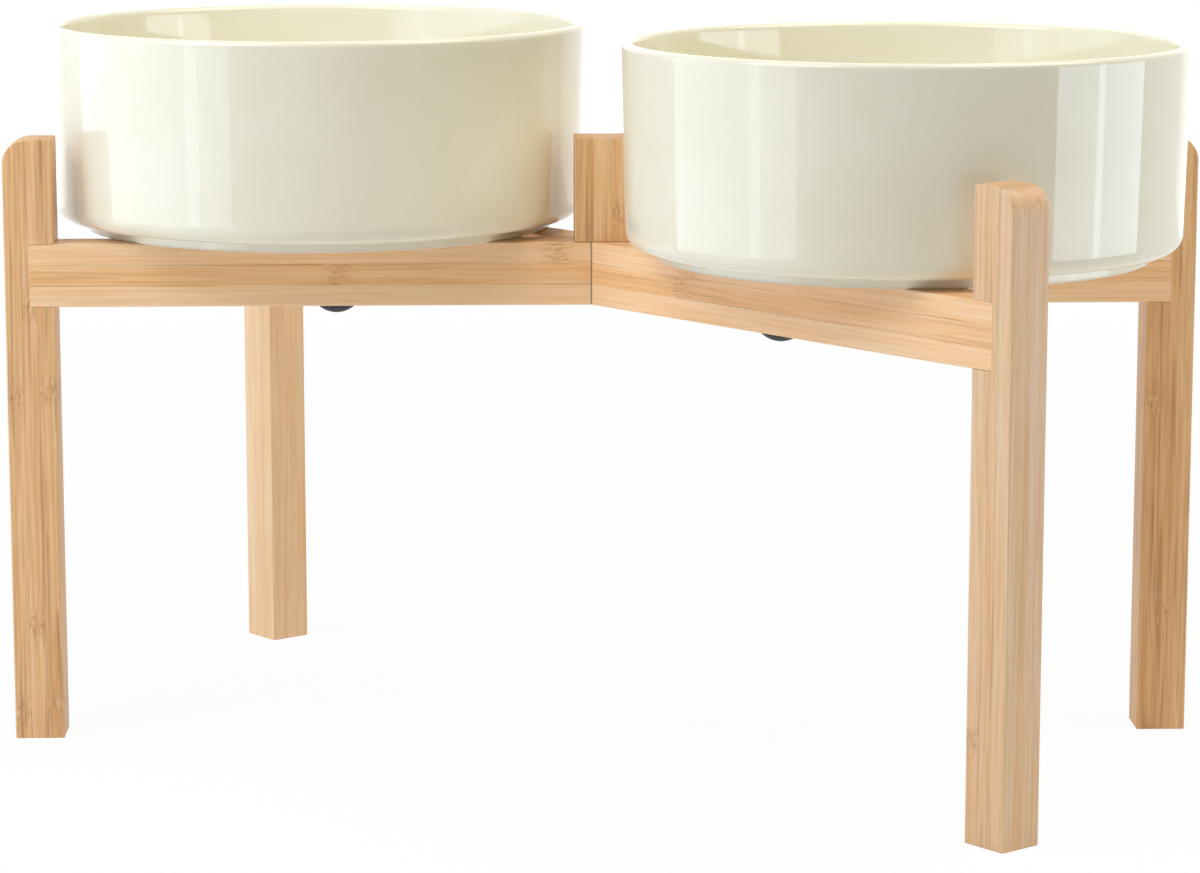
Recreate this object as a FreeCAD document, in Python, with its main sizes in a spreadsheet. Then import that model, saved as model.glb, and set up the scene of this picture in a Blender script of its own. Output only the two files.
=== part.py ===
# Raised feeding stand: two glazed bowls resting on a crossed bamboo frame with four legs.
# Millimetres. The origin is on the floor under the crossing, +X runs to the right-hand bowl, +Z is up.
import FreeCAD
import Part
import Sketcher
import os

doc = FreeCAD.newDocument("raised_bowl_stand")

# Driving dimensions, in millimetres and degrees
driving = {
    "bowl_rim_diameter": 200.0,
    "bowl_base_diameter": 196.4,
    "bowl_height": 76.0,
    "bowl_wall": 4.3,
    "bowl_wall_low": 8.4,
    "bowl_floor": 6.0,
    "bowl_lip_round": 1.935,
    "bowl_heel_round": 6.0,
    "bowl_inside_round": 18.0,
    "foot_inset": 11.0,
    "foot_ring_width": 6.0,
    "foot_height": 3.7,
    "foot_round": 0.8,
    "bowl_clearance": 4.6,
    "crossing_half_angle": 26.0,
    "stock_thickness": 17.0,
    "rail_height": 23.0,
    "leg_width": 18.0,
    "leg_height": 222.0,
    "leg_top_round": 9.0,
    "housing_depth": 9.0,
    "post_width": 20.5,
    "post_rise": 38.0,
    "eased_edge": 0.5,
    "glue_gap": 0.05,
    "dowel_diameter": 8.0,
    "dowel_in_rail": 20.0,
    "dowel_in_leg": 6.0,
    "dowel_chamfer": 0.8,
    "dowel_end_space": 0.5,
    "screw_diameter": 4.0,
    "screw_head_diameter": 8.0,
    "screw_head_depth": 2.6,
    "screw_length": 46.0,
    "screw_point": 5.0,
    "screw_sink": 0.5,
    "screw_recess_width": 1.1,
    "screw_recess_span": 4.4,
    "screw_recess_depth": 1.8,
    "plug_inset": 7.5,
    "plug_head_diameter": 15.0,
    "plug_head_height": 3.4,
    "plug_stem_diameter": 8.0,
    "plug_pad_diameter": 12.0,
    "plug_pad_round": 0.8,
    "plug_to_bowl": 0.3,
}

sizes = doc.addObject("Spreadsheet::Sheet", "sizes")
for row, (alias, value) in enumerate(driving.items(), start=1):
    sizes.set(f"A{row}", alias)
    sizes.set(f"B{row}", str(value))
    sizes.setAlias(f"B{row}", alias)
doc.recompute()

# Places and lengths that follow from the driving dimensions
worked_out = {
    "rim_radius": "sizes.bowl_rim_diameter / 2",
    "base_radius": "sizes.bowl_base_diameter / 2",
    "foot_radius": "base_radius - sizes.foot_inset",
    "side_slope": "(rim_radius - base_radius) / (sizes.bowl_height - sizes.foot_height)",
    "inside_base_radius":
        "base_radius - sizes.bowl_wall_low + side_slope * sizes.bowl_floor",
    "inside_floor": "sizes.foot_height + sizes.bowl_floor",
    "rail_top": "sizes.leg_height - sizes.post_rise",
    "rail_bottom": "rail_top - sizes.rail_height",
    "lap_depth": "sizes.rail_height / 2",
    "half_stock": "sizes.stock_thickness / 2",
    "half_post": "sizes.post_width / 2",
    "cos_arm": "cos(sizes.crossing_half_angle)",
    "sin_arm": "sin(sizes.crossing_half_angle)",
    "radius_by_posts":
        "base_radius + side_slope * (min(sizes.post_rise; sizes.bowl_height) - sizes.foot_height)",
    "keep_out": "radius_by_posts + sizes.bowl_clearance",
    "post_corner_x": "half_post * cos_arm + half_stock * sin_arm",
    "post_corner_y": "half_post * sin_arm - half_stock * cos_arm",
    "bowl_reach": "post_corner_x + sqrt(keep_out ^ 2 - post_corner_y ^ 2)",
    "leg_corner_side": "bowl_reach * sin_arm - half_stock",
    "leg_reach": "bowl_reach * cos_arm + sqrt(keep_out ^ 2 - leg_corner_side ^ 2)",
    "rail_half": "leg_reach + sizes.housing_depth",
    "plug_reach": "bowl_reach * cos_arm - sizes.plug_inset",
    "dowel_hole": "sizes.dowel_diameter + 2 * sizes.glue_gap",
    "screw_hole": "sizes.screw_diameter + 2 * sizes.glue_gap",
    "plug_hole": "sizes.plug_stem_diameter + 2 * sizes.glue_gap",
    "plug_pad_height": "sizes.foot_height - sizes.plug_to_bowl",
    "pilot_depth":
        "sizes.screw_sink + sizes.screw_length - sizes.rail_height + sizes.dowel_end_space",
}

layout = doc.addObject("Spreadsheet::Sheet", "layout")
for row, (alias, formula) in enumerate(worked_out.items(), start=1):
    layout.set(f"A{row}", alias)
    layout.set(f"B{row}", "=" + formula)
    layout.setAlias(f"B{row}", alias)
    doc.recompute()

# Each arm of the crossing points this way from the middle, as a formula in degrees
arms = {
    "front_left": "180 + sizes.crossing_half_angle",
    "front_right": "-sizes.crossing_half_angle",
    "back_left": "180 - sizes.crossing_half_angle",
    "back_right": "sizes.crossing_half_angle",
}

near = 1e-4


def number(formula):
    return float(layout.evalExpression(formula))


def new_body(label):
    body = doc.addObject("PartDesign::Body", label)
    body.Label = label
    return body


def place(body, x="0", y="0", z="0", turn="0"):
    body.setExpression("Placement.Base.x", x)
    body.setExpression("Placement.Base.y", y)
    body.setExpression("Placement.Base.z", z)
    body.setExpression("Placement.Rotation.Angle", turn)


def new_sketch(body, name, role, lift="0"):
    sketch = body.newObject("Sketcher::SketchObject", f"{body.Label}_{name}")
    plane = next(item for item in body.Origin.OriginFeatures if item.Role == role)
    sketch.AttachmentSupport = [(plane, "")]
    sketch.MapMode = "FlatFace"
    sketch.setExpression("AttachmentOffset.Base.z", lift)
    return sketch


def pin_point(sketch, geometry, position, x, y):
    for kind, formula, axis in (("DistanceX", x, -2), ("DistanceY", y, -1)):
        if formula == "0":
            sketch.addConstraint(Sketcher.Constraint("PointOnObject", geometry, position, axis))
        else:
            rule = Sketcher.Constraint(kind, -1, 1, geometry, position, number(formula))
            index = sketch.addConstraint(rule)
            sketch.setExpression(f"Constraints[{index}]", formula)


# A closed outline through corners given as pairs of formulas. With domed set, the first side is an
# arc whose centre is on the upright axis.
def draw_outline(sketch, corners, domed=False):
    points = [FreeCAD.Vector(number(x), number(y), 0) for x, y in corners]
    count = len(points)
    for index in range(count):
        start = points[index]
        end = points[(index + 1) % count]
        if domed and index == 0:
            depth = end.y - start.y
            radius = (end.x ** 2 + depth ** 2) / (2 * depth)
            middle_x = end.x / 2
            middle = FreeCAD.Vector(middle_x, start.y + radius - (radius ** 2 - middle_x ** 2) ** 0.5, 0)
            sketch.addGeometry(Part.Arc(start, middle, end))
            sketch.addConstraint(Sketcher.Constraint("PointOnObject", 0, 3, -2))
        else:
            sketch.addGeometry(Part.LineSegment(start, end))
    for index in range(count):
        sketch.addConstraint(Sketcher.Constraint("Coincident", index, 2, (index + 1) % count, 1))
    for index, (x, y) in enumerate(corners):
        pin_point(sketch, index, 1, x, y)


def draw_circle(sketch, x, y, diameter):
    centre = FreeCAD.Vector(number(x), number(y), 0)
    index = sketch.addGeometry(Part.Circle(centre, FreeCAD.Vector(0, 0, 1), number(diameter) / 2))
    pin_point(sketch, index, 3, x, y)
    rule = sketch.addConstraint(Sketcher.Constraint("Diameter", index, number(diameter)))
    sketch.setExpression(f"Constraints[{rule}]", diameter)


def pad(body, sketch, length, centred=False):
    feature = body.newObject("PartDesign::Pad", sketch.Name + "_pad")
    feature.Profile = sketch
    feature.Midplane = centred
    feature.setExpression("Length", length)
    doc.recompute()
    return feature


def cut(body, sketch, length, along_normal):
    before = body.Shape.Volume
    feature = body.newObject("PartDesign::Pocket", sketch.Name + "_cut")
    feature.Profile = sketch
    feature.Reversed = along_normal
    feature.setExpression("Length", length)
    doc.recompute()
    if body.Shape.Volume > before - near:
        raise RuntimeError(f"{feature.Name} removes nothing")
    return feature


def turned(body, sketch, kind):
    feature = body.newObject(f"PartDesign::{kind}", sketch.Name + "_turned")
    feature.Profile = sketch
    feature.ReferenceAxis = (sketch, ["V_Axis"])
    feature.Angle = 360
    doc.recompute()
    return feature


def dress(body, kind, name, size, wanted):
    base = body.Tip
    edges = enumerate(base.Shape.Edges, start=1)
    names = [f"Edge{index}" for index, edge in edges if not edge.Degenerated and wanted(edge)]
    feature = body.newObject(f"PartDesign::{kind}", f"{body.Label}_{name}")
    feature.Base = (base, names)
    feature.setExpression("Radius" if kind == "Fillet" else "Size", size)
    doc.recompute()
    return feature


def close_to(value, formula):
    return abs(value - number(formula)) < near


def straight_along(edge, axis):
    return isinstance(edge.Curve, Part.Line) and abs(abs(edge.Curve.Direction.dot(axis)) - 1) < near


def ring_at(radius, height):
    def wanted(edge):
        if not isinstance(edge.Curve, Part.Circle):
            return False
        return close_to(edge.Curve.Radius, radius) and close_to(edge.Curve.Center.z, height)
    return wanted


x_axis = FreeCAD.Vector(1, 0, 0)
y_axis = FreeCAD.Vector(0, 1, 0)


# One rail of the crossing: a straight bar with half its height cut away where the other rail passes
def make_rail(label, turn, other_turn, notch_from_below):
    body = new_body(label)
    place(body, z="layout.rail_bottom", turn=turn)
    bar = new_sketch(body, "bar", "XY_Plane")
    draw_outline(bar, [
        ("-layout.rail_half", "-layout.half_stock"),
        ("layout.rail_half", "-layout.half_stock"),
        ("layout.rail_half", "layout.half_stock"),
        ("-layout.rail_half", "layout.half_stock"),
    ])
    pad(body, bar, "sizes.rail_height")
    dress(body, "Fillet", "eased", "sizes.eased_edge", lambda edge: straight_along(edge, x_axis))

    # The other rail's footprint, carried past both sides of this one
    across = f"({other_turn} - ({turn}))"
    side = "sizes.stock_thickness"
    half_gap = "(layout.half_stock + sizes.glue_gap)"
    lean = f"{side} * cos({across}) / sin({across})"
    reach = f"{half_gap} / abs(sin({across}))"
    lap = new_sketch(body, "lap", "XY_Plane", "0" if notch_from_below else "layout.lap_depth")
    draw_outline(lap, [
        (f"-({lean}) - {reach}", f"-{side}"),
        (f"-({lean}) + {reach}", f"-{side}"),
        (f"{lean} + {reach}", side),
        (f"{lean} - {reach}", side),
    ])
    cut(body, lap, "layout.lap_depth" if notch_from_below else "sizes.rail_height", True)

    plug_holes = new_sketch(body, "plug_holes", "XY_Plane")
    for reach_formula in ("layout.plug_reach", "-layout.plug_reach"):
        draw_circle(plug_holes, reach_formula, "0", "layout.plug_hole")
    cut(body, plug_holes, "sizes.rail_height", True)

    dowel_depth = "sizes.dowel_in_rail + sizes.dowel_end_space"
    for name, end, inward in (("far", "layout.rail_half", False), ("near", "-layout.rail_half", True)):
        hole = new_sketch(body, f"dowel_hole_{name}", "YZ_Plane", end)
        draw_circle(hole, "0", "sizes.rail_height / 2", "layout.dowel_hole")
        cut(body, hole, dowel_depth, inward)
    return body


def drill_rail_for_screw(body, countersunk):
    sketch = new_sketch(body, "screw_hole", "XZ_Plane")
    hole_radius = "layout.screw_hole / 2"
    corners = [("0", "0"), (hole_radius, "0"), (hole_radius, "sizes.rail_height"), ("0", "sizes.rail_height")]
    if countersunk:
        head_radius = "sizes.screw_head_diameter / 2 + sizes.glue_gap"
        corners = [
            ("0", "0"),
            (head_radius, "0"),
            (head_radius, "sizes.screw_sink"),
            (hole_radius, "sizes.screw_sink + sizes.screw_head_depth"),
            (hole_radius, "sizes.rail_height"),
            ("0", "sizes.rail_height"),
        ]
    draw_outline(sketch, corners)
    turned(body, sketch, "Groove")


# A leg stands past the rail's end, which is housed half way into its inner side
def make_leg(corner, turn):
    body = new_body(f"leg_{corner}")
    place(body, f"layout.leg_reach * cos({turn})", f"layout.leg_reach * sin({turn})", "0", turn)
    side = new_sketch(body, "side", "XZ_Plane")
    draw_outline(side, [
        ("0", "0"),
        ("sizes.leg_width", "0"),
        ("sizes.leg_width", "sizes.leg_height"),
        ("0", "sizes.leg_height"),
        ("0", "layout.rail_top"),
        ("sizes.housing_depth", "layout.rail_top"),
        ("sizes.housing_depth", "layout.rail_bottom"),
        ("0", "layout.rail_bottom"),
    ])
    pad(body, side, "sizes.stock_thickness", centred=True)

    def outer_top(edge):
        middle = edge.CenterOfMass
        return (straight_along(edge, y_axis) and close_to(middle.x, "sizes.leg_width")
                and close_to(middle.z, "sizes.leg_height"))

    def eased(edge):
        middle = edge.CenterOfMass
        if straight_along(edge, y_axis):
            foot = close_to(middle.z, "0")
            inner_top = close_to(middle.x, "0") and close_to(middle.z, "sizes.leg_height")
            return foot or inner_top
        in_housing = (middle.x > near and middle.x < number("sizes.housing_depth") + near
                      and middle.z > number("layout.rail_bottom") - near
                      and middle.z < number("layout.rail_top") + near)
        return not in_housing

    dress(body, "Fillet", "top_round", "sizes.leg_top_round", outer_top)
    dress(body, "Fillet", "eased", "sizes.eased_edge", eased)
    hole = new_sketch(body, "dowel_hole", "YZ_Plane", "sizes.housing_depth")
    draw_circle(hole, "0", "layout.rail_bottom + sizes.rail_height / 2", "layout.dowel_hole")
    cut(body, hole, "sizes.dowel_in_leg + sizes.dowel_end_space", True)
    return body


# The short post on the crossing keeps the two bowls apart
def make_post():
    body = new_body("centre_post")
    place(body, z="layout.rail_top", turn=arms["back_right"])
    block = new_sketch(body, "block", "XY_Plane")
    draw_outline(block, [
        ("-layout.half_post", "-layout.half_stock"),
        ("layout.half_post", "-layout.half_stock"),
        ("layout.half_post", "layout.half_stock"),
        ("-layout.half_post", "layout.half_stock"),
    ])
    pad(body, block, "sizes.post_rise")
    dress(body, "Fillet", "eased", "sizes.eased_edge", lambda edge: edge.CenterOfMass.z > near)
    pilot = new_sketch(body, "pilot", "XY_Plane")
    draw_circle(pilot, "0", "0", "layout.screw_hole")
    cut(body, pilot, "layout.pilot_depth", True)
    return body


# A glued pin ties each rail end to its leg
def make_dowel(corner, turn):
    body = new_body(f"dowel_{corner}")
    place(body, z="layout.rail_bottom + sizes.rail_height / 2", turn=turn)
    end = new_sketch(body, "end", "YZ_Plane", "layout.rail_half - sizes.dowel_in_rail")
    draw_circle(end, "0", "0", "sizes.dowel_diameter")
    pad(body, end, "sizes.dowel_in_rail + sizes.dowel_in_leg")
    dress(body, "Chamfer", "ends", "sizes.dowel_chamfer", lambda edge: isinstance(edge.Curve, Part.Circle))
    return body


# A countersunk screw comes up through both rails into the post
def make_screw():
    body = new_body("post_screw")
    place(body, z="layout.rail_bottom + sizes.screw_sink")
    section = new_sketch(body, "section", "XZ_Plane")
    draw_outline(section, [
        ("0", "0"),
        ("sizes.screw_head_diameter / 2", "0"),
        ("sizes.screw_diameter / 2", "sizes.screw_head_depth"),
        ("sizes.screw_diameter / 2", "sizes.screw_length - sizes.screw_point"),
        ("0", "sizes.screw_length"),
    ])
    turned(body, section, "Revolution")
    recess = new_sketch(body, "recess", "XY_Plane")
    arm = "sizes.screw_recess_width / 2"
    tip = "sizes.screw_recess_span / 2"
    quarter = [(tip, f"-{arm}"), (tip, arm), (arm, arm)]
    corners = []
    for turn in range(4):
        corners += quarter
        quarter = [(f"-({y})", x) for x, y in quarter]
    draw_outline(recess, corners)
    cut(body, recess, "sizes.screw_recess_depth", True)
    return body


# A soft plug: a domed button under the rail, a stem through it and a low pad under the bowl
def make_plug(corner, turn):
    body = new_body(f"grip_plug_{corner}")
    place(body, f"layout.plug_reach * cos({turn})", f"layout.plug_reach * sin({turn})",
          "layout.rail_bottom", turn)
    section = new_sketch(body, "section", "XZ_Plane")
    pad_top = "sizes.rail_height + layout.plug_pad_height"
    draw_outline(section, [
        ("0", "-sizes.plug_head_height"),
        ("sizes.plug_head_diameter / 2", "0"),
        ("sizes.plug_stem_diameter / 2", "0"),
        ("sizes.plug_stem_diameter / 2", "sizes.rail_height"),
        ("sizes.plug_pad_diameter / 2", "sizes.rail_height"),
        ("sizes.plug_pad_diameter / 2", pad_top),
        ("0", pad_top),
    ], domed=True)
    turned(body, section, "Revolution")
    dress(body, "Fillet", "pad_round", "sizes.plug_pad_round",
          ring_at("sizes.plug_pad_diameter / 2", pad_top))
    return body


# A straight-sided bowl with a rounded heel, standing on a narrow foot ring
def make_bowl(side, x):
    body = new_body(f"bowl_{side}")
    place(body, x, "0", "layout.rail_top")
    foot_inside = "layout.foot_radius - sizes.foot_ring_width"
    rim_inside = "layout.rim_radius - sizes.bowl_wall"
    section = new_sketch(body, "section", "XZ_Plane")
    draw_outline(section, [
        ("0", "sizes.foot_height"),
        (foot_inside, "sizes.foot_height"),
        (foot_inside, "0"),
        ("layout.foot_radius", "0"),
        ("layout.foot_radius", "sizes.foot_height"),
        ("layout.base_radius", "sizes.foot_height"),
        ("layout.rim_radius", "sizes.bowl_height"),
        (rim_inside, "sizes.bowl_height"),
        ("layout.inside_base_radius", "layout.inside_floor"),
        ("0", "layout.inside_floor"),
    ])
    turned(body, section, "Revolution")
    heel = ring_at("layout.base_radius", "sizes.foot_height")
    dress(body, "Fillet", "heel", "sizes.bowl_heel_round", heel)
    well = ring_at("layout.inside_base_radius", "layout.inside_floor")
    dress(body, "Fillet", "well", "sizes.bowl_inside_round", well)
    for name, radius in (("outer_lip", "layout.rim_radius"), ("inner_lip", rim_inside)):
        dress(body, "Fillet", name, "sizes.bowl_lip_round", ring_at(radius, "sizes.bowl_height"))
    for name, radius in (("outer_foot", "layout.foot_radius"), ("inner_foot", foot_inside)):
        dress(body, "Fillet", name, "sizes.foot_round", ring_at(radius, "0"))
    return body


subparts = []
upper_rail = make_rail("cross_rail_upper", arms["back_right"], arms["front_right"], True)
lower_rail = make_rail("cross_rail_lower", arms["front_right"], arms["back_right"], False)
drill_rail_for_screw(upper_rail, False)
drill_rail_for_screw(lower_rail, True)
subparts += [upper_rail, lower_rail, make_post(), make_screw()]
for corner, turn in arms.items():
    subparts += [make_leg(corner, turn), make_dowel(corner, turn), make_plug(corner, turn)]
subparts += [make_bowl("left", "-layout.bowl_reach"), make_bowl("right", "layout.bowl_reach")]

doc.recompute()
failed = [item.Name for item in doc.Objects if "Invalid" in item.State or "Error" in item.State]
failed += [body.Label for body in subparts if body.Shape.isNull() or not body.Shape.isValid()]
if failed:
    raise RuntimeError("these did not build: " + ", ".join(failed))

os.makedirs("parts", exist_ok=True)
for body in subparts:
    body.Shape.exportStep(f"parts/{body.Label}.step")
    print(body.Label, "solids", len(body.Shape.Solids), "volume", round(body.Shape.Volume, 1))
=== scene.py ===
import math
import bmesh
import bpy
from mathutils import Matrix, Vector


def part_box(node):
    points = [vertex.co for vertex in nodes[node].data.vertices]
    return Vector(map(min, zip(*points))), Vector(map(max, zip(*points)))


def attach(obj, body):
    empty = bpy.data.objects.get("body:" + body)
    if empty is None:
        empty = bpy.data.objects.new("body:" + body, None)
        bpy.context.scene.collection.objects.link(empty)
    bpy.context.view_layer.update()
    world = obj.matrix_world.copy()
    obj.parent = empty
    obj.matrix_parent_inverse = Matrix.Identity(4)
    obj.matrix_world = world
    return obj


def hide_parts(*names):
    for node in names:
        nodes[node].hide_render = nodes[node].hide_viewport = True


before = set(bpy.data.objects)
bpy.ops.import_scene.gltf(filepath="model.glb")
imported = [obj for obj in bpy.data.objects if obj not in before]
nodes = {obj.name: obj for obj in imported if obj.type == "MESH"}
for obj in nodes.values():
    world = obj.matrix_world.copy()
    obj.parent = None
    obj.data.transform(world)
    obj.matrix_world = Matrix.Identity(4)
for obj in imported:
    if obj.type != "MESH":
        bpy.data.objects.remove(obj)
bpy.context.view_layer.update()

scene = bpy.context.scene
scene.view_settings.view_transform = "Standard"
mm = 0.001
white = (1, 1, 1, 1)
corners = ("front_left", "front_right", "back_left", "back_right")
print("stand loaded:", len(nodes), "solids")


# small helpers for building node trees

def addNode(tree, kind, **settings):
    node = tree.nodes.new(kind)
    for key, value in settings.items():
        setattr(node, key, value)
    return node


def plug(tree, value, socket):  # links a socket, or sets a plain value
    if isinstance(value, bpy.types.NodeSocket):
        tree.links.new(value, socket)
    else:
        socket.default_value = value


def calc(tree, operation, *values):
    node = addNode(tree, "ShaderNodeMath", operation=operation)
    for value, socket in zip(values, node.inputs):
        plug(tree, value, socket)
    return node.outputs[0]


def times(tree, first, second):
    return calc(tree, "MULTIPLY", first, second)


def plus(tree, first, second):
    return calc(tree, "ADD", first, second)


def minus(tree, first, second):
    return calc(tree, "SUBTRACT", first, second)


def fade(tree, value, low, high, toLow=0.0, toHigh=1.0):  # smooth step between two values
    node = addNode(tree, "ShaderNodeMapRange", interpolation_type="SMOOTHSTEP")
    for part, socket in zip((value, low, high, toLow, toHigh), node.inputs):
        plug(tree, part, socket)
    return node.outputs[0]


def mixColour(tree, factor, first, second, blend="MIX"):
    node = addNode(tree, "ShaderNodeMix", data_type="RGBA", blend_type=blend)
    for value, index in ((factor, 0), (first, 6), (second, 7)):  # 6 and 7 are the colour sockets
        plug(tree, value, node.inputs[index])
    return node.outputs[2]


def splitUp(tree, vector):
    node = addNode(tree, "ShaderNodeSeparateXYZ")
    tree.links.new(vector, node.inputs[0])
    return tuple(node.outputs)


def putTogether(tree, x, y, z):
    node = addNode(tree, "ShaderNodeCombineXYZ")
    for value, socket in zip((x, y, z), node.inputs):
        plug(tree, value, socket)
    return node.outputs[0]


def distance(tree, x, y):
    return calc(tree, "SQRT", plus(tree, times(tree, x, x), times(tree, y, y)))


def noise(tree, vector, scale, detail, roughness=0.5):
    node = addNode(tree, "ShaderNodeTexNoise")
    tree.links.new(vector, node.inputs["Vector"])
    for name, value in (("Scale", scale), ("Detail", detail), ("Roughness", roughness)):
        plug(tree, value, node.inputs[name])
    return node.outputs["Fac"]


def objectPlace(tree):
    return addNode(tree, "ShaderNodeTexCoord").outputs["Object"]


def turnedTo(tree, vector, turn, origin=(0, 0, 0), scale=(1, 1, 1)):  # into the piece's own directions
    node = addNode(tree, "ShaderNodeMapping", vector_type="TEXTURE")
    node.inputs["Location"].default_value = origin
    node.inputs["Rotation"].default_value = (0, 0, math.radians(turn))
    node.inputs["Scale"].default_value = scale
    tree.links.new(vector, node.inputs["Vector"])
    return node.outputs[0]


def newGroup(name, inputs, outputs):
    group = bpy.data.node_groups.new(name, "ShaderNodeTree")
    for label, kind in inputs.items():
        group.interface.new_socket(label, in_out="INPUT", socket_type="NodeSocket" + kind)
    for label, kind in outputs.items():
        group.interface.new_socket(label, in_out="OUTPUT", socket_type="NodeSocket" + kind)
    return group, addNode(group, "NodeGroupInput").outputs, addNode(group, "NodeGroupOutput").inputs


def useGroup(tree, group, values):
    node = addNode(tree, "ShaderNodeGroup", node_tree=group)
    for label, value in values.items():
        plug(tree, value, node.inputs[label])
    return node.outputs


def newMaterial(name):
    material = bpy.data.materials.new(name)
    material.use_nodes = True
    tree = material.node_tree
    return material, tree, tree.nodes["Principled BSDF"]


def addBump(tree, shader, height, strength, depth):
    node = addNode(tree, "ShaderNodeBump")
    node.inputs["Strength"].default_value = strength
    node.inputs["Distance"].default_value = depth
    tree.links.new(height, node.inputs["Height"])
    tree.links.new(node.outputs[0], shader.inputs["Normal"])


def wear(material, *names):  # dresses solids that keep their own shape
    for name in names:
        mesh = nodes[name].data
        mesh.materials.clear()
        mesh.materials.append(material)


# fine mottling shared by glaze, rubber and metal

mottling = {
    "cloudScale": 28.0, "cloudDetail": 3.0, "grainDetail": 2.0,
    "fleckScale": 0.11, "fleckEdge": (0.05, 0.09),  # flecks are that much coarser than the grain
}


def makeMottle():
    group, given, out = newGroup("surfaceMottle", {"Place": "Vector", "Grain size": "Float"},
                                 {"Cloud": "Float", "Grain": "Float", "Fleck": "Float"})
    place = given["Place"]
    fine = calc(group, "DIVIDE", 1.0, given["Grain size"])
    cloud = noise(group, place, mottling["cloudScale"], mottling["cloudDetail"])
    grain = noise(group, place, fine, mottling["grainDetail"])
    spots = addNode(group, "ShaderNodeTexVoronoi", feature="F1")
    group.links.new(place, spots.inputs["Vector"])
    group.links.new(times(group, fine, mottling["fleckScale"]), spots.inputs["Scale"])
    fleck = fade(group, spots.outputs["Distance"], *mottling["fleckEdge"], 1.0, 0.0)
    for value, label in ((cloud, "Cloud"), (grain, "Grain"), (fleck, "Fleck")):
        group.links.new(value, out[label])
    return group


mottle = makeMottle()


# strips of bamboo glued side by side: the grain runs along x of Place, the strips stack along y

bamboo = {
    "pale": (0.90, 0.65, 0.41, 1), "honey": (0.845, 0.51, 0.24, 1), "dark": (0.66, 0.335, 0.125, 1),
    "fibre": (0.36, 0.16, 0.055, 1), "endGrain": (0.50, 0.29, 0.13, 1),
    "glueLine": (0.40, 0.205, 0.08, 1), "joint": (0.10, 0.05, 0.025, 1),
    # how fast each kind of fibre changes along and across the grain, and its detail
    "broad": (7.0, 170.0, 2.0), "fine": (22.0, 950.0, 3.0), "hair": (52.0, 2300.0, 2.0),
    "streak": (17.0, 640.0, 1.0), "dash": (330.0, 1250.0, 2.0),
    "knotWander": (60.0, 520.0, 1.0), "glueWander": (26.0, 60.0, 1.0),
    "fibreRoughness": 0.55, "seedStep": 3.7,
    # where each mark starts and is full, and between which amounts
    "hairRange": (0.56, 0.72), "streakRange": (0.58, 0.68), "fineRange": (0.3, 0.7, -0.2, 0.2),
    "dashDark": (0.48, 0.62), "dashPale": (0.34, 0.44, 1.0, 0.0),
    "hairByBroad": (0.35, 0.62, 0.35, 1.0), "hairByTone": (0.3, 0.62, 1.0, 0.3),
    "streakByTone": (0.35, 0.7, 1.0, 0.12), "glueBreaks": (0.46, 0.64, 0.06, 0.85),
    "endFacing": (0.72, 0.96), "sideFacing": (0.6, 0.9), "dotEdge": (0.18, 0.42, 1.0, 0.0),
    # how much of each mark shows
    "broadAmount": 0.8, "hairAmount": 0.5, "streakAmount": 0.5, "knotAmount": 0.3, "knotDark": 0.4,
    "knotPale": 0.5, "endAmount": 0.42, "dotAmount": 0.5, "rubAmount": 0.3, "jointAmount": 0.8,
    # sizes in metres
    "glueWidth": 0.00026, "jointWidth": 0.00045, "knotLength": 0.0048, "knotDrift": 0.011,
    "edgeStart": 0.0004, "edgeWidth": 0.0011, "edgeWaver": 0.0006,
    # the dots of cut ends, then shine and relief
    "dotScale": 1150.0,
    "rough": 0.36, "roughGrain": 0.14, "roughWorn": 0.12, "specular": 0.45,
    "fineRelief": 0.35, "hairRelief": 0.5, "glueRelief": 0.8, "knotRelief": 0.5, "bump": (0.35, 0.12 * mm),
}


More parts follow.
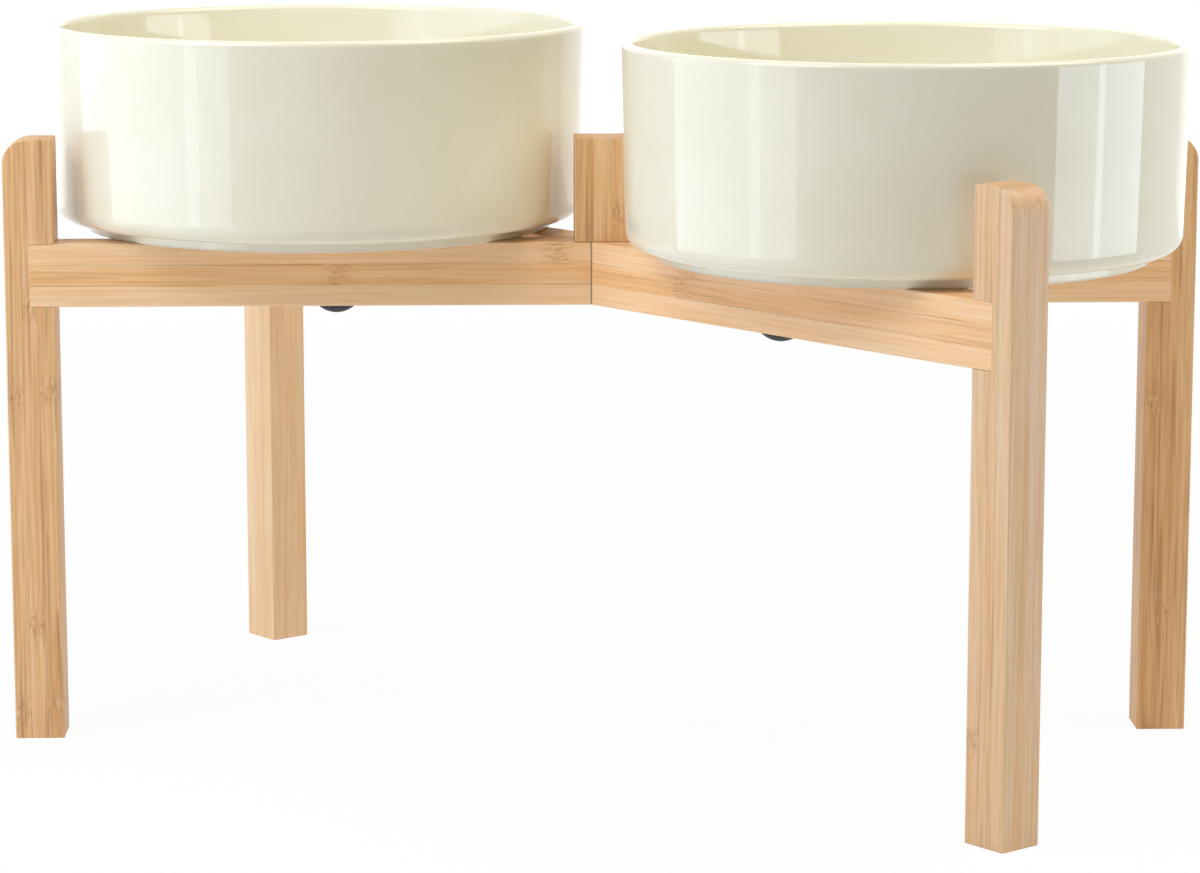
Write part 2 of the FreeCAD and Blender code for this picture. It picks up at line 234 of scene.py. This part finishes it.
def makeBamboo():
    group, given, out = newGroup(
        "bambooStrips",
        {"Place": "Vector", "Face": "Vector", "Strip": "Float", "Tones": "Vector", "Knots": "Vector",
         "Knot step": "Float", "Half": "Vector", "Seed": "Float", "Joint": "Float", "Cast": "Color"},
        {"Colour": "Color", "Roughness": "Float", "Height": "Float"})
    along, across, through = splitUp(group, given["Place"])
    faceAlong = splitUp(group, given["Face"])[0]
    half = splitUp(group, given["Half"])

    # which of the three strips, and how far from its glue line
    stack = calc(group, "DIVIDE", plus(group, across, half[1]), given["Strip"])
    strip = calc(group, "MINIMUM", calc(group, "MAXIMUM", calc(group, "FLOOR", stack), 0.0), 2.0)
    isMiddle = calc(group, "COMPARE", strip, 1.0, 0.1)
    isLast = calc(group, "COMPARE", strip, 2.0, 0.1)

    def pick(vector):  # the part of a three-number input that belongs to this strip
        first, middle, last = splitUp(group, vector)
        chosen = plus(group, first, times(group, isMiddle, minus(group, middle, first)))
        return plus(group, chosen, times(group, isLast, minus(group, last, first)))

    tone = pick(given["Tones"])
    knotAt = pick(given["Knots"])
    lineGap = times(group, calc(group, "PINGPONG", stack, 0.5), given["Strip"])
    inside = times(group, calc(group, "GREATER_THAN", stack, 0.5), calc(group, "LESS_THAN", stack, 2.5))
    glue = times(group, inside, fade(group, lineGap, 0.0, bamboo["glueWidth"], 1.0, 0.0))

    # long fibres, from broad streaks to hair-thin dark bundles
    shift = plus(group, times(group, strip, bamboo["seedStep"]), given["Seed"])

    def fibres(kind):
        lengthwise, crosswise, detail = bamboo[kind]
        place = putTogether(group, plus(group, times(group, along, lengthwise), shift),
                            times(group, across, crosswise),
                            plus(group, times(group, through, crosswise), shift))
        return noise(group, place, 1.0, detail, bamboo["fibreRoughness"])

    broad = fibres("broad")
    fine = fibres("fine")
    hair = fade(group, fibres("hair"), *bamboo["hairRange"])
    hair = times(group, hair, fade(group, broad, *bamboo["hairByBroad"]))
    hair = times(group, hair, fade(group, tone, *bamboo["hairByTone"]))  # pale strips are plainer
    streaks = times(group, fade(group, fibres("streak"), *bamboo["streakRange"]),
                    fade(group, tone, *bamboo["streakByTone"]))

    # the knuckle of the cane: a patch of short broken fibres, dark ones and pale ones
    halfStep = times(group, given["Knot step"], 0.5)
    knotGap = calc(group, "WRAP", minus(group, along, knotAt), halfStep, times(group, halfStep, -1.0))
    drift = times(group, minus(group, fibres("knotWander"), 0.5), bamboo["knotDrift"])
    knotSpan = calc(group, "DIVIDE", plus(group, knotGap, drift), bamboo["knotLength"])
    knot = calc(group, "EXPONENT", times(group, times(group, knotSpan, knotSpan), -1.0))
    dashes = fibres("dash")
    knotDark = times(group, knot, fade(group, dashes, *bamboo["dashDark"]))
    knotPale = times(group, knot, fade(group, dashes, *bamboo["dashPale"]))

    # the colour: strip tone, then fibres, streaks, knuckles, glue lines
    level = plus(group, tone, times(group, minus(group, broad, 0.5), bamboo["broadAmount"]))
    level = plus(group, level, fade(group, fine, *bamboo["fineRange"]))
    ramp = addNode(group, "ShaderNodeValToRGB")
    group.links.new(level, ramp.inputs[0])
    ramp.color_ramp.elements[0].color = bamboo["dark"]
    ramp.color_ramp.elements[1].color = bamboo["pale"]
    ramp.color_ramp.elements.new(0.5).color = bamboo["honey"]

    def stain(colour, mask, amount, shade):
        return mixColour(group, times(group, mask, bamboo[amount]), colour, bamboo[shade])

    colour = stain(ramp.outputs[0], hair, "hairAmount", "fibre")
    colour = stain(colour, streaks, "streakAmount", "fibre")
    colour = stain(colour, knot, "knotAmount", "dark")
    colour = stain(colour, knotDark, "knotDark", "fibre")
    colour = stain(colour, knotPale, "knotPale", "pale")
    glueBreak = times(group, glue, fade(group, fibres("glueWander"), *bamboo["glueBreaks"]))  # dark in places
    colour = mixColour(group, glueBreak, colour, bamboo["glueLine"])

    # cut ends show the fibre bundles as dots
    isEnd = fade(group, calc(group, "ABSOLUTE", faceAlong), *bamboo["endFacing"])
    dots = addNode(group, "ShaderNodeTexVoronoi", feature="F1")
    group.links.new(putTogether(group, shift, across, through), dots.inputs["Vector"])
    dots.inputs["Scale"].default_value = bamboo["dotScale"]
    dotMask = fade(group, dots.outputs["Distance"], *bamboo["dotEdge"])
    cutEnd = mixColour(group, bamboo["endAmount"], colour, bamboo["endGrain"])
    cutEnd = stain(cutEnd, dotMask, "dotAmount", "fibre")
    colour = mixColour(group, isEnd, colour, cutEnd)

    # rubbed edges are a little paler and less shiny
    edgeY = minus(group, half[1], calc(group, "ABSOLUTE", across))
    edgeZ = minus(group, half[2], calc(group, "ABSOLUTE", through))
    edgeGap = plus(group, calc(group, "MAXIMUM", edgeY, edgeZ), times(group, broad, bamboo["edgeWaver"]))
    rub = fade(group, edgeGap, bamboo["edgeStart"], bamboo["edgeWidth"], 1.0, 0.0)
    colour = stain(colour, rub, "rubAmount", "pale")
    # painted light: the colour is multiplied by a per-piece tint that stands in for warmer, brighter or
    # cooler light falling on that piece
    colour = mixColour(group, 1.0, colour, given["Cast"], "MULTIPLY")
    colour = stain(colour, given["Joint"], "jointAmount", "joint")

    rough = plus(group, bamboo["rough"], times(group, fine, bamboo["roughGrain"]))
    rough = plus(group, rough, times(group, plus(group, isEnd, rub), bamboo["roughWorn"]))
    height = minus(group, times(group, fine, bamboo["fineRelief"]), times(group, hair, bamboo["hairRelief"]))
    height = minus(group, height, times(group, glue, bamboo["glueRelief"]))
    height = plus(group, height, times(group, knot, bamboo["knotRelief"]))
    for value, label in ((colour, "Colour"), (rough, "Roughness"), (height, "Height")):
        group.links.new(value, out[label])
    return group


bambooStrips = makeBamboo()

stand = {
    "armTurn": 26.0, "stock": 17.0 * mm,
    "railHeight": 23.0 * mm, "legWidth": 18.0 * mm, "postWidth": 20.5 * mm,
}
armTurn = stand["armTurn"]


def bambooMaterial(name, look, origin, upright, width, jointGap=None):
    material, tree, shader = newMaterial(name)
    place = addNode(tree, "ShaderNodeTexCoord")
    x, y, z = splitUp(tree, turnedTo(tree, place.outputs["Object"], look["turn"], origin))
    faceX, faceY, faceZ = splitUp(tree, turnedTo(tree, place.outputs["Normal"], look["turn"]))
    if upright:  # grain runs up the piece, strips stack along the arm
        where = putTogether(tree, z, x, y)
        face = putTogether(tree, faceZ, faceX, faceY)
    else:  # grain runs along the arm, strips stack upwards
        where = putTogether(tree, x, z, y)
        face = putTogether(tree, faceX, faceZ, faceY)
    isJoint = 0.0
    if jointGap:  # how far it is to the piece that butts against this one
        isJoint = fade(tree, jointGap(tree, x, y, z), 0.0, bamboo["jointWidth"], 1.0, 0.0)
        if not upright:
            isSide = fade(tree, calc(tree, "ABSOLUTE", faceY), *bamboo["sideFacing"])
            isJoint = times(tree, isJoint, isSide)
    # a piece that lists a tint gets it as painted light, the others get white
    made = useGroup(tree, bambooStrips, {
        "Place": where, "Face": face, "Strip": width / 3, "Half": (0, width / 2, stand["stock"] / 2),
        "Tones": look["tones"], "Knots": look["knots"], "Knot step": look.get("step", 1.0),
        "Seed": look["seed"], "Joint": isJoint, "Cast": look.get("paintedLight", white)})
    tree.links.new(made["Colour"], shader.inputs["Base Color"])
    tree.links.new(made["Roughness"], shader.inputs["Roughness"])
    shader.inputs["Specular IOR Level"].default_value = bamboo["specular"]
    addBump(tree, shader, made["Height"], *bamboo["bump"])
    return material


# strip tones and knuckles are listed bottom to top on the rails
# a knuckle at 0.3 or more lies past the piece's end
# each rail's tint is painted light: it brightens and warms the rail where the lamps leave it dim
rails = {
    "cross_rail_upper": {"turn": armTurn, "tones": (0.92, 0.58, 0.88), "knots": (0.30, -0.097, -0.016),
                         "seed": 4.0, "paintedLight": (1.07, 1.01, 0.94, 1)},
    "cross_rail_lower": {"turn": -armTurn, "tones": (0.76, 0.56, 0.74), "knots": (0.30, 0.053, 0.058),
                         "seed": 9.0, "paintedLight": (1.06, 1.01, 0.97, 1)},
}


def crossingGap(turn):  # the other rail's sides, seen from this rail
    lean = math.radians(2 * turn)

    def gap(tree, x, y, z):
        reach = plus(tree, times(tree, x, math.sin(lean)), times(tree, y, math.cos(lean)))
        return minus(tree, calc(tree, "ABSOLUTE", reach), stand["stock"] / 2)
    return gap


railLow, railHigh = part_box("cross_rail_upper")
railMiddle = (railLow.z + railHigh.z) / 2
for name, look in rails.items():
    wear(bambooMaterial(name + "_bamboo", look, (0, 0, railMiddle), False, stand["railHeight"],
                        crossingGap(look["turn"])), name)

# on the legs they are listed from the middle of the stand outwards
legs = {
    "front_left": {"turn": 180 + armTurn, "tones": (0.28, 0.46, 0.42), "knots": (0.012, 0.043, 0.010),
                   "step": 0.118, "seed": 2.0},
    # painted light: a cool tint on this leg stands in for the cool light of the box on the right
    "front_right": {"turn": -armTurn, "tones": (0.58, 0.52, 0.62), "knots": (0.036, 0.30, 0.30),
                    "seed": 13.0, "paintedLight": (0.91, 0.935, 1.03, 1)},
    # painted light: a warm, brighter tint on this leg stands in for the light that the bowls' shadow keeps
    # off it
    "back_left": {"turn": 180 - armTurn, "tones": (0.80, 0.74, 0.92), "knots": (0.30, 0.30, 0.31),
                  "seed": 21.0, "paintedLight": (1.06, 1.03, 0.97, 1)},
    "back_right": {"turn": armTurn, "tones": (0.20, 0.18, 0.38), "knots": (0.124, 0.046, 0.30), "seed": 34.0},
}
for corner, look in legs.items():
    low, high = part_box("leg_" + corner)
    middle = ((low.x + high.x) / 2, (low.y + high.y) / 2, 0)
    wear(bambooMaterial("leg_" + corner + "_bamboo", look, middle, True, stand["legWidth"]), "leg_" + corner)

post = {"turn": armTurn, "tones": (0.26, 0.56, 0.54), "knots": (0.30, 0.30, 0.194), "seed": 51.0}
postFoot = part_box("centre_post")[0].z
wear(bambooMaterial("centre_post_bamboo", post, (0, 0, 0), True, stand["postWidth"],
                    lambda tree, x, y, z: minus(tree, z, postFoot)), "centre_post")
print("bamboo: rails, legs and post dressed")


# small fittings

pinWood = {
    "pale": (0.78, 0.60, 0.40, 1), "dark": (0.55, 0.37, 0.21, 1),
    "grain": (22.0, 1500.0, 1500.0), "detail": 3.0, "rough": (0.55, 0.2), "bump": (0.3, 0.1 * mm),
}


def pinMaterial(name, turn):
    material, tree, shader = newMaterial(name)
    scale = tuple(1 / part for part in pinWood["grain"])
    grain = noise(tree, turnedTo(tree, objectPlace(tree), turn, scale=scale), 1.0, pinWood["detail"])
    start, spread = pinWood["rough"]
    tree.links.new(mixColour(tree, grain, pinWood["dark"], pinWood["pale"]), shader.inputs["Base Color"])
    tree.links.new(plus(tree, start, times(tree, grain, spread)), shader.inputs["Roughness"])
    addBump(tree, shader, grain, *pinWood["bump"])
    return material


for corner in corners:
    wear(pinMaterial("dowel_" + corner + "_wood", legs[corner]["turn"]), "dowel_" + corner)

rubber = {
    "shades": ((0.008, 0.0085, 0.011, 1), (0.022, 0.022, 0.025, 1)), "pattern": "Cloud", "grain": 0.5 * mm,
    "rough": (0.5, 0.25), "bump": (0.4, 0.1 * mm), "metallic": 0.0,
}
zinc = {
    "shades": ((0.46, 0.45, 0.43, 1), (0.66, 0.66, 0.66, 1)), "pattern": "Grain", "grain": 0.3 * mm,
    "rough": (0.24, 0.25), "bump": (0.15, 0.05 * mm), "metallic": 1.0,
}


def mottledMaterial(name, look):
    material, tree, shader = newMaterial(name)
    made = useGroup(tree, mottle, {"Place": objectPlace(tree), "Grain size": look["grain"]})
    start, spread = look["rough"]
    tree.links.new(mixColour(tree, made[look["pattern"]], *look["shades"]), shader.inputs["Base Color"])
    tree.links.new(plus(tree, start, times(tree, made["Grain"], spread)), shader.inputs["Roughness"])
    shader.inputs["Metallic"].default_value = look["metallic"]
    addBump(tree, shader, made["Grain"], *look["bump"])
    return material


wear(mottledMaterial("grip_plug_rubber", rubber), *("grip_plug_" + corner for corner in corners))
wear(mottledMaterial("post_screw_zinc", zinc), "post_screw")
print("fittings: dowels, plugs and screw dressed")


# the glazed bowls: one outline turned about the bowl's own axis

bowl = {
    # shape, in millimetres and steps
    "footRadius": 87.2, "footWidth": 6.0, "footHeight": 3.7, "baseRadius": 98.2,
    "wall": 4.3, "wallLow": 8.4, "floor": 6.0,
    "footRound": 0.8, "creaseRound": 0.9, "heelRound": 6.0, "lipRound": 2.0, "wellRound": 18.0,
    "stepsRound": 240, "stepsCorner": 9, "support": 0.6, "supportShare": 1.1, "supportRoom": 2, "weld": 0.002,
    # colours
    "glaze": (0.87, 0.82, 0.65, 1), "pooled": (0.845, 0.79, 0.61, 1), "thin": (0.88, 0.84, 0.71, 1),
    # the inside colour is painted light: a lighter, yellower copy of the glaze for the warm light that
    # bounces round the bowl's interior
    "inside": (0.885, 0.85, 0.675, 1), "biscuit": (0.74, 0.68, 0.58, 1),
    # where they lie, in millimetres
    "insideRadius": 97.0, "insideEdge": 1.0, "insideLow": 7.0, "lipFrom": 73.6, "lipTo": 76.0,
    "bareHeight": 0.7, "bareEdge": 0.25, "bareWander": 0.3,
    # how much of each shows, and the surface
    "pooling": (0.35, 0.7), "lipAmount": 0.3, "fleckCloud": (0.5, 0.6), "fleckAmount": 0.10,
    "grain": 0.9 * mm, "rough": (0.02, 0.04), "bareRough": 0.65, "bareGrain": 0.3,
    "ior": 1.6, "bump": (0.1, 0.3 * mm),
}


def glazeMaterial(restHeight, offset):
    material, tree, shader = newMaterial("cream_glaze")
    place = objectPlace(tree)
    made = useGroup(tree, mottle, {"Place": place, "Grain size": bowl["grain"]})
    x, y, z = splitUp(tree, place)
    high = minus(tree, z, restHeight)
    # the bowls stand at equal distances from the middle
    across = minus(tree, calc(tree, "ABSOLUTE", x), offset)
    radius = distance(tree, across, y)

    colour = mixColour(tree, fade(tree, made["Cloud"], *bowl["pooling"]), bowl["glaze"], bowl["pooled"])
    # painted light: inside the bowl the glaze turns into that lighter, yellower copy
    edge, blur = bowl["insideRadius"], bowl["insideEdge"]
    inside = fade(tree, radius, (edge - blur) * mm, (edge + blur) * mm, 1.0, 0.0)
    inside = times(tree, inside, calc(tree, "GREATER_THAN", high, bowl["insideLow"] * mm))
    colour = mixColour(tree, inside, colour, bowl["inside"])
    lip = fade(tree, high, bowl["lipFrom"] * mm, bowl["lipTo"] * mm)  # the glaze runs thin over the lip
    colour = mixColour(tree, times(tree, lip, bowl["lipAmount"]), colour, bowl["thin"])
    fleck = times(tree, made["Fleck"], fade(tree, made["Cloud"], *bowl["fleckCloud"]))
    colour = mixColour(tree, times(tree, fleck, bowl["fleckAmount"]), colour, bowl["biscuit"])
    bareLine = plus(tree, high, times(tree, made["Grain"], bowl["bareWander"] * mm))
    bareTop = bowl["bareHeight"] + bowl["bareEdge"]
    bare = fade(tree, bareLine, bowl["bareHeight"] * mm, bareTop * mm, 1.0, 0.0)  # the ring it was fired on
    colour = mixColour(tree, bare, colour, bowl["biscuit"])

    start, spread = bowl["rough"]
    rough = plus(tree, start, times(tree, made["Cloud"], spread))
    wave = times(tree, made["Grain"], times(tree, bare, bowl["bareGrain"]))
    tree.links.new(colour, shader.inputs["Base Color"])
    tree.links.new(plus(tree, rough, times(tree, bare, bowl["bareRough"])), shader.inputs["Roughness"])
    shader.inputs["IOR"].default_value = bowl["ior"]
    addBump(tree, shader, plus(tree, made["Cloud"], wave), *bowl["bump"])
    return material


def turningTree():
    tree = bpy.data.node_groups.new("bowlTurning", "GeometryNodeTree")
    inputs = {"Outline": "Geometry", "Steps round": "Int", "Steps a corner": "Int", "Finish": "Material"}
    for label, kind in inputs.items():
        tree.interface.new_socket(label, in_out="INPUT", socket_type="NodeSocket" + kind)
    tree.interface.new_socket("Bowl", in_out="OUTPUT", socket_type="NodeSocketGeometry")
    given = addNode(tree, "NodeGroupInput").outputs

    # the outline's corners get their own roundings
    outline = addNode(tree, "GeometryNodeMeshToCurve")
    tree.links.new(given["Outline"], outline.inputs[0])
    rounded = addNode(tree, "GeometryNodeFilletCurve", mode="POLY")
    radius = addNode(tree, "GeometryNodeInputNamedAttribute", data_type="FLOAT")
    radius.inputs["Name"].default_value = "round"
    tree.links.new(outline.outputs[0], rounded.inputs["Curve"])
    tree.links.new(given["Steps a corner"], rounded.inputs["Count"])
    tree.links.new(radius.outputs["Attribute"], rounded.inputs["Radius"])
    rounded.inputs["Limit Radius"].default_value = True

    # a sheet with one row for each point of the outline is wrapped round the axis
    count = addNode(tree, "GeometryNodeAttributeDomainSize", component="CURVE")
    tree.links.new(rounded.outputs[0], count.inputs[0])
    perTurn = plus(tree, given["Steps round"], 1.0)
    sheet = addNode(tree, "GeometryNodeMeshGrid")
    tree.links.new(count.outputs["Point Count"], sheet.inputs["Vertices X"])
    tree.links.new(perTurn, sheet.inputs["Vertices Y"])
    index = addNode(tree, "GeometryNodeInputIndex").outputs[0]
    step = calc(tree, "FLOOR", calc(tree, "DIVIDE", plus(tree, index, 0.5), perTurn))
    turn = minus(tree, index, times(tree, step, perTurn))
    angle = times(tree, calc(tree, "DIVIDE", turn, given["Steps round"]), 2 * math.pi)
    sample = addNode(tree, "GeometryNodeSampleIndex", data_type="FLOAT_VECTOR", domain="POINT")
    tree.links.new(rounded.outputs[0], sample.inputs["Geometry"])
    tree.links.new(addNode(tree, "GeometryNodeInputPosition").outputs[0], sample.inputs["Value"])
    tree.links.new(step, sample.inputs["Index"])
    reach, _, rise = splitUp(tree, sample.outputs[0])
    where = putTogether(tree, times(tree, reach, calc(tree, "COSINE", angle)),
                        times(tree, reach, calc(tree, "SINE", angle)), rise)
    moved = addNode(tree, "GeometryNodeSetPosition")
    tree.links.new(sheet.outputs["Mesh"], moved.inputs["Geometry"])
    tree.links.new(where, moved.inputs["Position"])

    # the seam and the two middles are closed, and the bowl gets its finish
    closed = addNode(tree, "GeometryNodeMergeByDistance")
    closed.inputs["Distance"].default_value = bowl["weld"] * mm
    tree.links.new(moved.outputs[0], closed.inputs["Geometry"])
    smooth = addNode(tree, "GeometryNodeSetShadeSmooth")
    tree.links.new(closed.outputs[0], smooth.inputs["Geometry"])
    single = addNode(tree, "GeometryNodeRealizeInstances")
    tree.links.new(smooth.outputs[0], single.inputs[0])
    finish = addNode(tree, "GeometryNodeSetMaterial")
    tree.links.new(single.outputs[0], finish.inputs["Geometry"])
    tree.links.new(given["Finish"], finish.inputs["Material"])
    tree.links.new(finish.outputs[0], addNode(tree, "NodeGroupOutput").inputs["Bowl"])
    return tree


def bowlOutline(rimRadius, height):
    foot, base = bowl["footRadius"], bowl["baseRadius"]
    slope = (rimRadius - base) / (height - bowl["footHeight"])
    inside = bowl["footHeight"] + bowl["floor"]
    turns = [  # radius, height, rounding: from the middle underneath, over the lip, to the middle inside
        (0, bowl["footHeight"], 0),
        (foot - bowl["footWidth"], bowl["footHeight"], bowl["creaseRound"]),
        (foot - bowl["footWidth"], 0, bowl["footRound"]),
        (foot, 0, bowl["footRound"]),
        (foot, bowl["footHeight"], bowl["creaseRound"]),
        (base, bowl["footHeight"], bowl["heelRound"]),
        (rimRadius, height, bowl["lipRound"]),
        (rimRadius - bowl["wall"], height, bowl["lipRound"]),
        (base - bowl["wallLow"] + slope * bowl["floor"], inside, bowl["wellRound"]),
        (0, inside, 0),
    ]
    points = [turns[0]]
    for first, last in zip(turns, turns[1:]):  # extra rings near the roundings keep long walls straight
        start, end = Vector(first[:2]), Vector(last[:2])
        run = (end - start).length
        nearStart, nearEnd = (bowl["supportShare"] * part[2] + bowl["support"] for part in (first, last))
        if run > nearStart + nearEnd + bowl["supportRoom"]:
            for reach in (nearStart, run / 2, run - nearEnd):
                spot = start + (end - start) * (reach / run)
                points.append((spot.x, spot.y, 0))
        points.append(last)
    return points


def makeBowl(side, tree, finish):
    name = "bowl_" + side
    low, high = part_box(name)
    points = bowlOutline((high.x - low.x) / 2 / mm, (high.z - low.z) / mm)
    mesh = bpy.data.meshes.new(name + "_outline")
    lines = [(i, i + 1) for i in range(len(points) - 1)]
    mesh.from_pydata([(r * mm, 0, z * mm) for r, z, _ in points], lines, [])
    rounding = mesh.attributes.new("round", "FLOAT", "POINT")
    rounding.data.foreach_set("value", [part[2] * mm for part in points])
    blank = bpy.data.objects.new(name + "_blank", mesh)
    scene.collection.objects.link(blank)
    modifier = blank.modifiers.new("turning", "NODES")
    modifier.node_group = tree
    sockets = {item.name: item.identifier for item in tree.interface.items_tree if item.in_out == "INPUT"}
    modifier[sockets["Steps round"]] = bowl["stepsRound"]
    modifier[sockets["Steps a corner"]] = bowl["stepsCorner"]
    modifier[sockets["Finish"]] = finish
    depsgraph = bpy.context.evaluated_depsgraph_get()
    turned = bpy.data.meshes.new_from_object(blank.evaluated_get(depsgraph))
    bpy.data.objects.remove(blank)
    work = bmesh.new()
    work.from_mesh(turned)
    bmesh.ops.translate(work, verts=work.verts, vec=((low.x + high.x) / 2, (low.y + high.y) / 2, low.z))
    bmesh.ops.recalc_face_normals(work, faces=work.faces)
    work.to_mesh(turned)
    work.free()
    piece = bpy.data.objects.new("glazed_bowl_" + side, turned)
    scene.collection.objects.link(piece)
    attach(piece, side + "_bowl")
    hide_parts(name)
    print("bowl turned:", side, len(turned.vertices), "points")


rightLow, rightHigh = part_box("bowl_right")
creamGlaze = glazeMaterial(rightLow.z, (rightLow.x + rightHigh.x) / 2)
bowlTurning = turningTree()
for side in ("left", "right"):
    makeBowl(side, bowlTurning, creamGlaze)


# floor, light and camera

studio = {
    "floorSize": 9.0, "floorColour": (0.94, 0.94, 0.94, 1), "floorRough": 0.9,
    "shadowShare": 0.055, "shadowNear": 0.5, "shadowFar": 1.3,  # shadows show only round the stand
    "fill": 0.105, "fillTint": (1.0, 0.92, 0.72, 1),
    "lampAim": (0, 0, 0.2), "uprightBelow": 1.0,
}


def seenWhite(tree):  # 1 for rays that show the white surroundings, 0 for those that only gather light
    path = addNode(tree, "ShaderNodeLightPath").outputs
    return calc(tree, "MAXIMUM", path["Is Camera Ray"],
                calc(tree, "MAXIMUM", path["Is Glossy Ray"], path["Is Transmission Ray"]))


def makeFloor():
    mesh = bpy.data.meshes.new("studio_floor")
    side = studio["floorSize"]
    square = [(-side, -side, 0), (side, -side, 0), (side, side, 0), (-side, side, 0)]
    mesh.from_pydata(square, [], [(0, 1, 2, 3)])
    floor = bpy.data.objects.new("studio_floor", mesh)
    scene.collection.objects.link(floor)
    material, tree, shader = newMaterial("studio_floor")
    shader.inputs["Base Color"].default_value = studio["floorColour"]
    shader.inputs["Roughness"].default_value = studio["floorRough"]
    shader.inputs["Specular IOR Level"].default_value = 0.0
    x, y, _ = splitUp(tree, objectPlace(tree))
    shadow = fade(tree, distance(tree, x, y), studio["shadowNear"], studio["shadowFar"],
                  studio["shadowShare"], 0.0)
    mixed = addNode(tree, "ShaderNodeMixShader")
    tree.links.new(times(tree, seenWhite(tree), minus(tree, 1.0, shadow)), mixed.inputs[0])
    tree.links.new(shader.outputs[0], mixed.inputs[1])
    tree.links.new(addNode(tree, "ShaderNodeEmission").outputs[0], mixed.inputs[2])
    tree.links.new(mixed.outputs[0], tree.nodes["Material Output"].inputs["Surface"])
    mesh.materials.append(material)


def makeWorld():
    world = bpy.data.worlds.new("studio")
    scene.world = world
    world.use_nodes = True
    tree = world.node_tree
    background = tree.nodes["Background"].inputs
    seen = seenWhite(tree)
    tree.links.new(fade(tree, seen, 0.0, 1.0, studio["fill"], 1.0), background["Strength"])
    tree.links.new(mixColour(tree, seen, studio["fillTint"], white), background["Color"])


camera = {
    "lens": 121.35, "sensor": 36, "near": 0.05,
    "place": (0.5999, -1.3430, 0.3682), "turn": 24.1, "tilt": 9.93,
}


def makeCamera():
    data = bpy.data.cameras.new("photo_view")
    data.lens = camera["lens"]
    data.sensor_width = camera["sensor"]
    data.clip_start = camera["near"]
    eye = bpy.data.objects.new("photo_view", data)
    eye.location = camera["place"]
    eye.rotation_euler = (math.radians(90 - camera["tilt"]), 0, math.radians(camera["turn"]))
    scene.collection.objects.link(eye)
    scene.camera = eye


# each box of light: degrees to the right of the camera, how far out, its middle's height,
# its width and height, watts, tint
softboxes = {
    "left_box": (-76, 0.77, 0.42, 1.15, 0.84, 4.2, (0.635, 0.77, 1.0)),
    "left_core": (-56, 0.77, 0.42, 0.07, 0.84, 0.2, (0.72, 0.83, 1.0)),
    "right_box": (77, 0.96, 0.18, 0.71, 0.36, 2.2, (0.72, 0.83, 1.0)),
    "right_core": (75, 0.955, 0.18, 0.05, 0.36, 0.12, (0.72, 0.83, 1.0)),
    "high_left": (-52, 0.9, 1.1, 0.8, 0.8, 7.8, (1, 1, 1)),
    "high_right": (80, 0.55, 1.2, 0.7, 0.7, 7.1, (1.0, 0.955, 0.84)),
    "overhead": (10, 0.1, 1.5, 1.1, 1.1, 2.0, (1, 1, 1)),
    "rear_wall": (180, 1.1, 0.62, 2.2, 1.2, 3.2, (1, 1, 1)),
}


def makeLights():
    for name, (turn, out, high, wide, tall, watts, tint) in softboxes.items():
        data = bpy.data.lights.new(name, "AREA")
        data.shape = "RECTANGLE"
        data.size, data.size_y = wide, tall
        data.energy = watts
        data.color = tint
        light = bpy.data.objects.new(name, data)
        way = math.radians(camera["turn"] - 90 + turn)
        light.location = (out * math.cos(way), out * math.sin(way), high)
        aim = Vector(studio["lampAim"]) - light.location
        if high < studio["uprightBelow"]:
            aim.z = 0  # the low boxes stand upright
        light.rotation_euler = aim.to_track_quat("-Z", "Y").to_euler()
        light.visible_camera = False
        scene.collection.objects.link(light)


makeFloor()
makeWorld()
makeCamera()
makeLights()
print("studio: floor, light and camera set")
